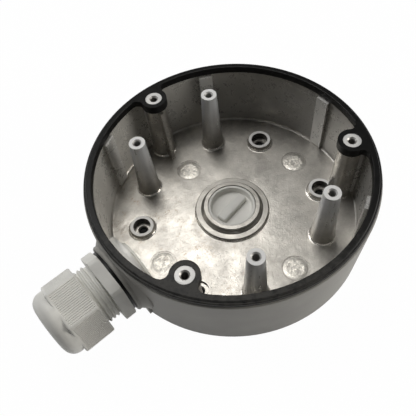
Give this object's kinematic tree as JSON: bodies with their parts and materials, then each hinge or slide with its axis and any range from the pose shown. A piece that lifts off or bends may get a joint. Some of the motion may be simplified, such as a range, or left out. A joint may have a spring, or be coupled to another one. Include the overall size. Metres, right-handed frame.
{
  "type": "camera junction box",
  "caption": "Round die-cast back box for a ceiling or wall camera, open at the front, with a rubber rim gasket, a side cable gland and a blanked back entry.",
  "frame": {"origin": "centre of the back face, on the axis of the round housing", "axes": "+Z out of the open side, -X along the cable gland, away from the housing"},
  "size_m": [0.1737, 0.137, 0.0424],
  "materials": {
    "cast_aluminium": "bare as-cast inside, grey paint outside",
    "gasket_rubber": "matte black",
    "grey_nylon": "light grey moulded nylon"
  },
  "bodies": {
    "box": {"housing": "cast_aluminium", "rim_gasket": "gasket_rubber", "gland_body": "grey_nylon", "gland_washer": "gasket_rubber", "blanking_plug": "grey_nylon", "plug_seal_ring": "gasket_rubber"},
    "seal": {"gland_seal": "gasket_rubber"},
    "cap_nut": {"gland_nut": "grey_nylon"}
  },
  "joints": [
    {"name": "nut_travel", "type": "slide", "parent": "box", "child": "seal", "axis": [-1, 0, 0], "range_m": [-0.005, 0.0055]},
    {"name": "nut_turn", "type": "hinge", "parent": "seal", "child": "cap_nut", "pos_m": [-0.095, 0, 0.02], "axis": [-1, 0, 0], "range_deg": [-900, 990]}
  ],
  "couplings": [
    {"joint": "nut_travel", "follows": "nut_turn", "m_per_rad": 0.00031831}
  ]
}
